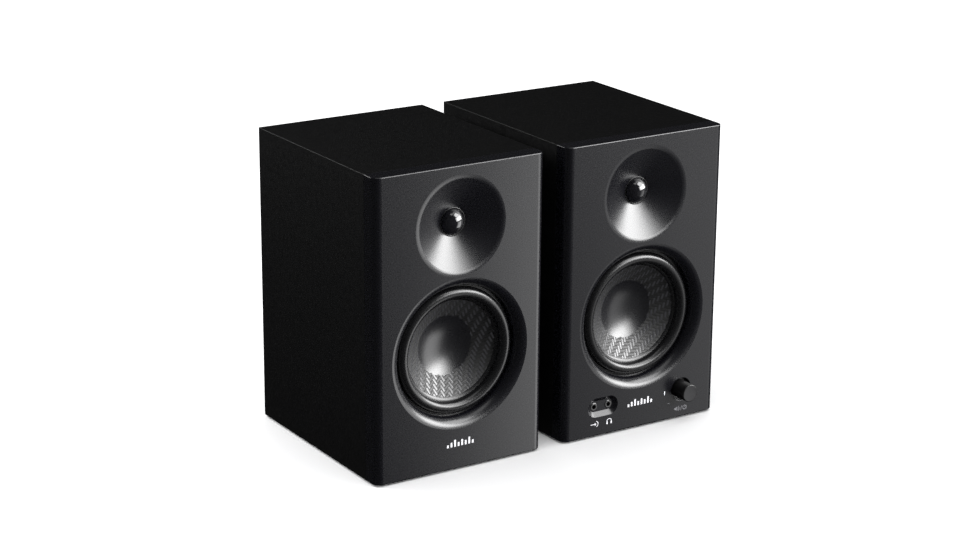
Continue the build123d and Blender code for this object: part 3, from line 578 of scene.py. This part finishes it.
def dust_cap(side):
    """The smooth dish in the middle of the cone."""
    radius, rim, deep, skin = 22.5, 21.5, 6.0, 0.6
    front = dish(radius, rim + deep - 0.15, rim - 0.1, 28)
    back = dish(radius - 0.7, rim + deep + skin, rim + 0.45, 14)[::-1]
    place = Matrix.Translation(at(side, 0, 0, WOOFER_Z))
    piece = turned(f"{side}_cap_dish", front + back, place, 144, 50)
    finish_piece(piece, "cap_plastic")
    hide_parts(f"{side}_woofer_dust_cap")
    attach(piece, f"{side} woofer cone")


def stretch_between(piece):
    """Bakes a ring's placement into its mesh; the ring stays with its speaker and does not follow the moving
    body.
    """
    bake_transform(piece)


def surround(side):
    """The rubber half-roll, with its outer flange and the sloping lip glued to the cone."""
    middle, roll, level, rubber, glue = 42.8, 4.3, 9.6, 0.8, 12.7
    crest = arc((middle, level), roll, 0, -180, 41)
    valley = arc((middle - roll - 0.45, level + 1.3), 0.45, 0, 100, 6)
    outline = crest + valley + [(36.5, glue - 0.25), (36.3, glue - 0.1), (36.3, glue)]
    outline += [(middle - roll + rubber, glue)] + arc((middle, level), roll - rubber, -180, 0, 25)
    outline += [(middle + roll - rubber, BAFFLE), (48.15, BAFFLE), (48.15, 10.5), (47.9, 10.2)]
    outline += [(middle + roll + 0.3, 10.2)]
    place = Matrix.Translation(at(side, 0, 0, WOOFER_Z))
    piece = turned(f"{side}_roll", outline, place, 192, 40)
    finish_piece(piece, "surround_rubber")
    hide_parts(f"{side}_woofer_surround")
    stretch_between(piece)


def spider(side):
    """The corrugated cloth disc behind the cone."""
    inner, outer, base, thick, height, waves = 13.1, 31.0, 33.0, 0.5, 0.7, 5
    steps = 12 * waves
    front, rear = [], []
    for k in range(steps + 1):
        radius = inner + (outer - inner) * k / steps
        level = base - thick - height * (1 - cos(2 * pi * waves * k / steps)) / 2
        front.append((radius, level))
        rear.append((radius, level + thick))
    place = Matrix.Translation(at(side, 0, 0, WOOFER_Z))
    piece = turned(f"{side}_spider_cloth", front + rear[::-1], place, 120, 50)
    finish_piece(piece, "spider_cloth")
    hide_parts(f"{side}_woofer_spider")
    stretch_between(piece)


def tweeter(side):
    """The gloss dome with its skirt, and the small roll round it."""
    radius, crown, end, skin = 9.5, BAFFLE - 7.0, 18.0, 0.4
    outer = dish(radius, crown, BAFFLE, 24)
    inner = dish(radius - skin, crown + skin, BAFFLE, 16)
    outline = outer + [(radius, end), (radius - skin, end)] + inner[::-1]
    place = Matrix.Translation(at(side, 0, 0, TWEETER_Z))
    dome = turned(f"{side}_dome_shell", outline, place, 128, 40)
    finish_piece(dome, "dome_gloss")
    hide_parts(f"{side}_tweeter_dome")
    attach(dome, f"{side} tweeter dome")

    start, level, roll, thick, rim = 9.65, BAFFLE + 0.05, 0.45, 0.4, 12.4
    crest = arc((start + roll, level), roll, 180, 360, 13)
    outline = crest + [(rim, level), (rim, level + thick), (start, level + thick)]
    ring = turned(f"{side}_dome_roll", outline, place, 96, 40)
    finish_piece(ring, "surround_rubber")
    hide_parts(f"{side}_tweeter_surround")
    stretch_between(ring)


for side, turn in (("passive", 20), ("active", 55)):
    cone(side, turn)
    dust_cap(side)
    surround(side)
    spider(side)
    tweeter(side)


# Printed marks


def front_print(side, name, shapes, ink):
    piece = plates(f"{side}_{name}", shapes, Matrix.Translation(at(side, 0, 0, 0)))
    finish_piece(piece, None, ink)
    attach(piece, f"{side} speaker")


def badge():
    """A generic badge: a row of level bars."""
    heights = (2.2, 3.6, 5.2, 3.0, 4.6, 3.4, 5.2, 2.6)
    pitch, foot = 3.0, 16.9
    start = -pitch * (len(heights) - 1) / 2
    return [bar(start + pitch * k, foot + h / 2, 1.5, h) for k, h in enumerate(heights)]


def headphone_sign(x, z):
    shapes = [bow(x, z, 2.1, 0, 180, 0.55)]
    for i in (-1, 1):
        shapes.append(bar(x + i * 1.9, z - 0.9, 1.15, 2.1))
    return shapes


def plug_sign(x, z):
    """An arrow into a socket."""
    return [
        stroke(x - 3.4, z, x + 0.4, z, 0.55),
        [(x + 0.2, z - 1.3), (x + 1.7, z), (x + 0.2, z + 1.3)],
        bow(x + 1.2, z, 2.1, -75, 75, 0.5),
    ]


def volume_signs(x, z):
    """A small loudspeaker, a slash, and a ring with a stroke, for the knob's two uses."""
    horn = [(x - 5.6, z - 0.7), (x - 4.6, z - 0.7), (x - 3.4, z - 1.7)]
    horn += [(x - 3.4, z + 1.7), (x - 4.6, z + 0.7), (x - 5.6, z + 0.7)]
    return [
        horn,
        bow(x - 3.6, z, 1.5, -50, 50, 0.4),
        bow(x - 3.6, z, 2.5, -50, 50, 0.4),
        stroke(x + 0.2, z - 1.8, x + 1.4, z + 1.8, 0.4),
        bow(x + 4.0, z, 1.6, 120, 420, 0.45, 28),
        stroke(x + 4.0, z + 0.2, x + 4.0, z + 2.1, 0.45),
    ]


def turn_signs(x, z):
    """A minus at the left of the knob and a plus at the right."""
    low, reach = 9.6, 11.3
    return [
        stroke(x - reach - 1.0, z - low, x - reach + 1.0, z - low, 0.5),
        stroke(x + reach - 1.1, z - low, x + reach + 1.1, z - low, 0.5),
        stroke(x + reach, z - low - 1.1, x + reach, z - low - 0.25, 0.5),
        stroke(x + reach, z - low + 0.25, x + reach, z - low + 1.1, 0.5),
    ]


for side in ("passive", "active"):
    front_print(side, "badge_bars", badge(), WHITE_INK)
front_print("active", "headphone_sign", headphone_sign(-28.0, 9.2), WHITE_INK)
front_print("active", "plug_sign", plug_sign(-41.4, 9.2), WHITE_INK)
front_print("active", "volume_signs", volume_signs(KNOB_X, 6.6), GREY_INK)
front_print("active", "turn_signs", turn_signs(KNOB_X, KNOB_Z), GREY_INK)


def knob_end():
    """The satin disc set in the volume knob's end."""
    front, ball, radius = 0.25 - KNOB_REACH, 90.0, 5.75
    radii = [radius * k / 15 for k in range(16)]
    face = [(r, front - (ball - sqrt(ball**2 - r * r)) - 0.03) for r in radii]
    outline = face + [(radius + 0.1, face[-1][1] + 0.13), (0, face[0][1] + 0.13)]
    place = Matrix.Translation(at("active", KNOB_X, 0, KNOB_Z))
    piece = turned("active_knob_end_disc", outline, place, 96)
    finish_piece(piece, None, KNOB_END)
    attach(piece, "volume knob")


knob_end()


# Rear details


def facing_back(side, x, depth, z):
    """A place on the rear, turned so that plates stand out of it towards +Y."""
    return Matrix.Translation(at(side, x, depth, z)) @ Matrix.Rotation(pi, 4, "Z")


def rear_print(side, name, shapes, depth, ink=WHITE_INK):
    piece = plates(f"{side}_{name}", shapes, facing_back(side, 0, depth, 0))
    finish_piece(piece, None, ink)
    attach(piece, f"{side} speaker")


def dial_marks(x, z, radius):
    """Eleven ticks round a knob, with a minus and a plus at the ends."""
    shapes = []
    for k in range(11):
        a = radians(225 - 27 * k)
        long = 1.9 if k in (0, 5, 10) else 1.2
        start = (x + radius * cos(a), z + radius * sin(a))
        end = (x + (radius + long) * cos(a), z + (radius + long) * sin(a))
        shapes.append(stroke(*start, *end, 0.35))
    shapes.append(stroke(x - 8.2, z - 8.0, x - 6.4, z - 8.0, 0.4))
    shapes.append(stroke(x + 6.4, z - 8.0, x + 8.2, z - 8.0, 0.4))
    shapes.append(stroke(x + 7.3, z - 8.9, x + 7.3, z - 8.2, 0.4))
    shapes.append(stroke(x + 7.3, z - 7.8, x + 7.3, z - 7.1, 0.4))
    return shapes


def bracket(x0, x1, z, drop):
    """A line over a group of sockets with its ends turned down."""
    return [
        stroke(x0, z, x1, z, 0.35),
        stroke(x0, z, x0, z - drop, 0.35),
        stroke(x1, z, x1, z - drop, 0.35),
    ]


def wave_sign(x, z, high):
    """A small wave: many ripples for treble, few for bass."""
    count = 4 if high else 2
    shapes, length = [], 8.0
    points = [(x - length / 2 + length * k / 32, z + 0.9 * sin(2 * pi * count * k / 32)) for k in range(33)]
    for p, q in zip(points, points[1:]):
        shapes.append(stroke(*p, *q, 0.35))
    return shapes


def rear_marks():
    # Seen from behind, x runs the other way
    marks = []
    for x, high in ((16.0, True), (-16.0, False)):
        marks += dial_marks(-x, 114.0, 6.0)
        marks += wave_sign(-x, 125.5, high)
    marks += bracket(-43.0, -5.0, 85.5, 2.5) + bracket(5.5, 38.5, 85.5, 2.5)
    marks += [stroke(-48, 98.0, 48, 98.0, 0.3)]
    marks += bracket(14.0, 46.0, 46.5, 2.0)
    rear_print("active", "rear_marks", marks, REAR_PLATE)


rear_marks()


def phono_rings():
    """The coloured ring in the mouth of each phono socket."""
    for x, material, name in ((-14.0, RED_RING, "red"), (-30.0, WHITE_RING, "white")):
        outline = [(6.2, 170.4), (6.2, 170.9), (5.9, 171.2), (4.45, 171.2), (4.3, 170.9), (4.3, 170.4)]
        place = Matrix.Translation(at("active", x, 0, 72.0))
        piece = turned(f"active_phono_ring_{name}", outline, place, 96)
        finish_piece(piece, None, material)
        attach(piece, "active speaker")


phono_rings()


# Studio


def studio_floor():
    """A plain pale floor, left out of reflections so that the baffles don't mirror it white."""
    paint = Paint("studio_floor", 0.9)
    paint.mottle((0.88, 0.88, 0.885), 0.01, 3)
    mesh = bpy.data.meshes.new("studio_floor")
    size = 6.0
    corners = [(-size, -size, 0), (size, -size, 0), (size, size, 0), (-size, size, 0)]
    mesh.from_pydata(corners, [], [(0, 1, 2, 3)])
    floor = bpy.data.objects.new("studio_floor", mesh)
    floor.data.materials.append(paint.material)
    bpy.context.scene.collection.objects.link(floor)
    floor.visible_glossy = False


def softbox(name, azimuth, height, distance, width, tall, radiance, target=(0, 0, 0.11)):
    """A soft rectangular light. Azimuth 0 is in front of the speakers and 90 on their right."""
    light = bpy.data.lights.new(name, "AREA")
    light.shape = "RECTANGLE"
    light.size, light.size_y = width, tall
    light.energy = radiance * pi * width * tall
    box = bpy.data.objects.new(name, light)
    bpy.context.scene.collection.objects.link(box)
    a = radians(azimuth)
    box.location = (distance * sin(a), -distance * cos(a), height)
    box.rotation_euler = (Vector(target) - box.location).to_track_quat("-Z", "Y").to_euler()
    box.visible_camera = False
    return box


def glow_card(side, away, stops):
    """What one satin baffle mirrors of the room: a pale upright card, darker on its left.

    The baffles mirror the camera down through the floor, so the card stands there. Reflections
    in its own speaker alone see it. The stops pair a place across it, in metres, with a radiance.
    """
    turn = radians(CAMERA_AZIMUTH)
    left, right, low, high = -0.35, 0.45, -0.42, 0.14
    mesh = bpy.data.meshes.new(f"{side}_glow")
    corners = [(left, 0, low), (right, 0, low), (right, 0, high), (left, 0, high)]
    mesh.from_pydata(corners, [], [(0, 1, 2, 3)])
    card = bpy.data.objects.new(f"{side}_glow", mesh)
    bpy.context.scene.collection.objects.link(card)
    card.location = (away * sin(turn), FRONT_Y * MM - away * cos(turn), 0)
    card.rotation_euler = (0, 0, turn)
    for kind in ("camera", "diffuse", "shadow", "transmission", "volume_scatter"):
        setattr(card, f"visible_{kind}", False)
    paint = Paint(f"{side}_glow")
    across, _, _ = paint.axes()
    strongest = max(radiance for _, radiance in stops)
    shades = [((u - left) / (right - left), (r / strongest,) * 3) for u, r in stops]
    glow = paint.add("ShaderNodeEmission")
    paint.join(paint.ramp(paint.span(across, 0.0, 1.0, left, right), shades), glow.inputs["Color"])
    glow.inputs["Strength"].default_value = strongest
    clear, both = paint.add("ShaderNodeBsdfTransparent"), paint.add("ShaderNodeAddShader")
    paint.join(glow.outputs["Emission"], both.inputs[0])
    paint.join(clear.outputs["BSDF"], both.inputs[1])
    paint.join(both.outputs["Shader"], paint.tree.nodes["Material Output"].inputs["Surface"])
    paint.material.cycles.emission_sampling = "NONE"
    card.data.materials.append(paint.material)
    shown = bpy.data.collections.new(f"{side}_glow_shows_on")
    for thing in bpy.data.objects:
        if thing.type == "MESH" and thing.name.startswith(side) and thing != card:
            shown.objects.link(thing)
    card.light_linking.receiver_collection = shown


def spare_floor_and_vinyl(light):
    """Keeps a light off the floor and the vinyl, so that neither catches its glare."""
    skipped = bpy.data.collections.new(f"{light.name}_skips")
    vinyl = [node for node, slot in SLOT_OF.items() if slot == "vinyl_wrap"]
    for name in ["studio_floor"] + vinyl:
        skipped.objects.link(bpy.data.objects[name])
    light.light_linking.receiver_collection = skipped
    for member in skipped.collection_objects:
        member.light_linking.link_state = "EXCLUDE"


def studio_lights():
    """Soft light fitted to the look from the camera's side, not one physical studio."""
    for k, (width, tall, radiance) in enumerate(((1.15, 0.50, 11.0), (1.95, 0.76, 8.0))):
        spare_floor_and_vinyl(softbox(f"key_{k}", 51, 0.62, 1.50 + 0.02 * k, width, tall, radiance))
    spare_floor_and_vinyl(softbox("key_upper", 46, 1.28, 1.15, 1.1, 0.75, 8.0))
    softbox("top_bank", 30, 1.9, 0.3, 1.6, 1.2, 1.6)
    softbox("left_fill", -135, 0.60, 0.9, 0.5, 0.4, 5.0)
    softbox("back_fill", 195, 0.9, 1.8, 1.2, 0.8, 0.5)
    glow_card("passive", 0.60, [(-0.17, 0.0), (-0.08, 0.0), (0.0, 2.3), (0.1, 3.0)])
    glow_card("active", 0.62, [(-0.10, 0.1), (0.02, 0.2), (0.17, 1.0), (0.30, 1.1)])


def studio_world():
    """White all round, but dim in reflections, as in a room with black flags."""
    world = bpy.data.worlds.new("studio_world")
    bpy.context.scene.world = world
    world.use_nodes = True
    tree = world.node_tree
    tree.nodes.clear()
    path = tree.nodes.new("ShaderNodeLightPath")
    pale = tree.nodes.new("ShaderNodeBackground")
    pale.inputs["Color"].default_value = (1.0, 1.0, 1.0, 1.0)
    pale.inputs["Strength"].default_value = 1.45
    dim = tree.nodes.new("ShaderNodeBackground")
    dim.inputs["Color"].default_value = (1.0, 1.0, 1.0, 1.0)
    dim.inputs["Strength"].default_value = 0.02
    mix = tree.nodes.new("ShaderNodeMixShader")
    out = tree.nodes.new("ShaderNodeOutputWorld")
    tree.links.new(path.outputs["Is Glossy Ray"], mix.inputs["Fac"])
    tree.links.new(pale.outputs["Background"], mix.inputs[1])
    tree.links.new(dim.outputs["Background"], mix.inputs[2])
    tree.links.new(mix.outputs["Shader"], out.inputs["Surface"])


def photo_camera():
    """The camera: roll is about the line of sight."""
    place, elevation, roll = (-0.9270, -1.43125, 0.6504), -17.55, 0.48
    az, el, ro = radians(CAMERA_AZIMUTH), radians(elevation), radians(roll)
    forward = Vector((sin(az) * cos(el), cos(az) * cos(el), sin(el)))
    right = forward.cross(Vector((0, 0, 1))).normalized()
    up = right.cross(forward)
    across = right * cos(ro) + up * sin(ro)
    upward = up * cos(ro) - right * sin(ro)
    data = bpy.data.cameras.new("photo_camera")
    data.lens = 87.77
    data.sensor_width = 36.0
    data.clip_start, data.clip_end = 0.05, 50.0
    camera = bpy.data.objects.new("photo_camera", data)
    bpy.context.scene.collection.objects.link(camera)
    turn = Matrix((across, upward, -forward)).transposed().to_4x4()
    camera.matrix_world = Matrix.Translation(Vector(place)) @ turn
    bpy.context.scene.camera = camera


studio_floor()
studio_lights()
studio_world()
photo_camera()
bpy.context.scene.view_settings.view_transform = "Standard"
